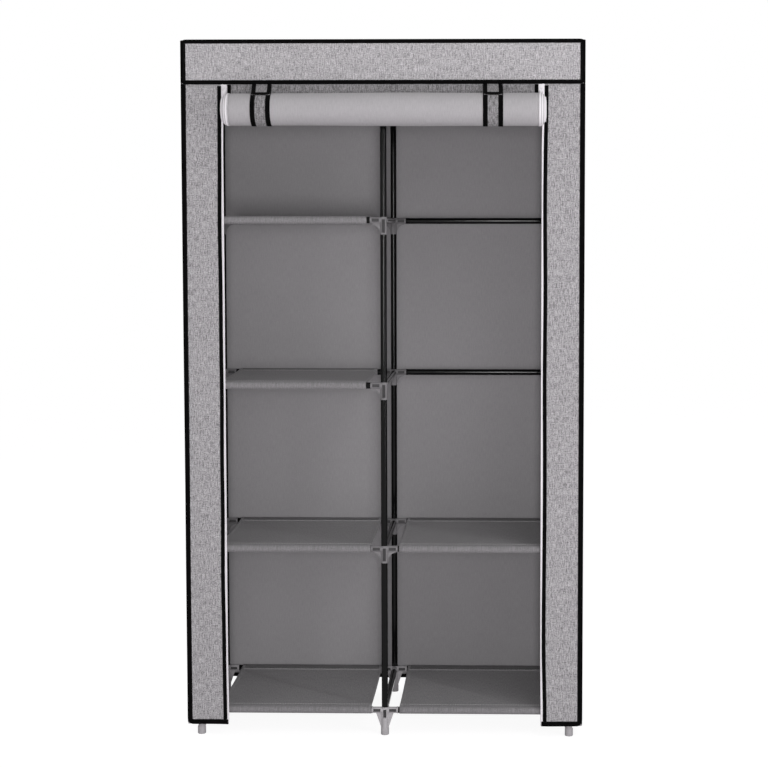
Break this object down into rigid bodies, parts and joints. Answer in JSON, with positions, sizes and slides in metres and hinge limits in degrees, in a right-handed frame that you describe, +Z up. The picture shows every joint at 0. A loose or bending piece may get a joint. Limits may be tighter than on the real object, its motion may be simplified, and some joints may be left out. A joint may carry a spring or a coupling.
{
  "type": "portable fabric wardrobe",
  "caption": "Two-bay knock-down wardrobe: tube frame on moulded connectors, fabric shelves, hanging rail, zipped fabric cover with its door rolled up and tied.",
  "frame": {"origin": "on the floor under the middle of the whole outline, the rolled door included", "axes": "+X to the right of someone who faces the door, the door faces -Y, +Z up"},
  "size_m": [1, 0.5388, 1.748],
  "materials": {
    "upright": "black powder-coated steel tubes with grey moulded plastic connectors and feet",
    "steel_tube": "black powder coat, satin",
    "shelf_cloth": "grey non-woven cloth with a fine printed weave",
    "cover_cloth": "heathered light grey non-woven cloth with black binding",
    "inner_cloth": "grey non-woven cloth with black binding",
    "rolled_cloth": "plain inner side of the grey non-woven cloth, matt",
    "white_metal": "white enamel"
  },
  "bodies": {
    "wardrobe": {"upright_front_left": "upright", "upright_front_centre": "upright", "upright_front_right": "upright", "upright_rear_left": "upright", "upright_rear_centre": "upright", "upright_rear_right": "upright", "rail_left_front_1": "steel_tube", "rail_left_front_2": "steel_tube", "rail_left_front_3": "steel_tube", "rail_left_front_4": "steel_tube", "rail_left_front_5": "steel_tube", "rail_left_rear_1": "steel_tube", "rail_left_rear_2": "steel_tube", "rail_left_rear_3": "steel_tube", "rail_left_rear_4": "steel_tube", "rail_left_rear_5": "steel_tube", "rail_right_front_1": "steel_tube", "rail_right_front_2": "steel_tube", "rail_right_front_5": "steel_tube", "rail_right_rear_1": "steel_tube", "rail_right_rear_2": "steel_tube", "rail_right_rear_3": "steel_tube", "rail_right_rear_4": "steel_tube", "rail_right_rear_5": "steel_tube", "crossbar_left_1": "steel_tube", "crossbar_left_2": "steel_tube", "crossbar_left_3": "steel_tube", "crossbar_left_4": "steel_tube", "crossbar_left_5": "steel_tube", "crossbar_centre_1": "steel_tube", "crossbar_centre_2": "steel_tube", "crossbar_centre_3": "steel_tube", "crossbar_centre_4": "steel_tube", "crossbar_centre_5": "steel_tube", "crossbar_right_1": "steel_tube", "crossbar_right_2": "steel_tube", "crossbar_right_3": "steel_tube", "crossbar_right_4": "steel_tube", "crossbar_right_5": "steel_tube", "hanging_rail": "steel_tube", "shelf_left_1": "shelf_cloth", "shelf_left_2": "shelf_cloth", "shelf_left_3": "shelf_cloth", "shelf_left_4": "shelf_cloth", "shelf_right_1": "shelf_cloth", "shelf_right_2": "shelf_cloth", "cover_top": "cover_cloth", "cover_left_side": "cover_cloth", "cover_right_side": "cover_cloth", "cover_header": "cover_cloth", "cover_front_left": "cover_cloth", "cover_front_right": "cover_cloth", "cover_back": "inner_cloth", "rolled_door": "rolled_cloth"},
    "slider_left": {"zip_slider_left": "white_metal"},
    "pull_left": {"zip_pull_left": "white_metal"},
    "slider_right": {"zip_slider_right": "white_metal"},
    "pull_right": {"zip_pull_right": "white_metal"},
    "tab_left": {"strap_tab_left": "cover_cloth"},
    "tab_right": {"strap_tab_right": "cover_cloth"}
  },
  "joints": [
    {"name": "zip_slide_left", "type": "slide", "parent": "wardrobe", "child": "slider_left", "axis": [0, 0, 1], "range_m": [-1.575, 0]},
    {"name": "pull_hinge_left", "type": "hinge", "parent": "slider_left", "child": "pull_left", "pos_m": [-0.391, -0.18251, 1.6298], "axis": [-1, 0, 0], "range_deg": [0, 100]},
    {"name": "zip_slide_right", "type": "slide", "parent": "wardrobe", "child": "slider_right", "axis": [0, 0, 1], "range_m": [-1.575, 0]},
    {"name": "pull_hinge_right", "type": "hinge", "parent": "slider_right", "child": "pull_right", "pos_m": [0.391, -0.18251, 1.6298], "axis": [-1, 0, 0], "range_deg": [0, 100]},
    {"name": "tab_hinge_left", "type": "hinge", "parent": "wardrobe", "child": "tab_left", "pos_m": [-0.298, -0.18151, 1.63734], "axis": [-1, 0, 0], "range_deg": [0, 100]},
    {"name": "tab_hinge_right", "type": "hinge", "parent": "wardrobe", "child": "tab_right", "pos_m": [0.272, -0.18151, 1.63734], "axis": [-1, 0, 0], "range_deg": [0, 100]}
  ]
}
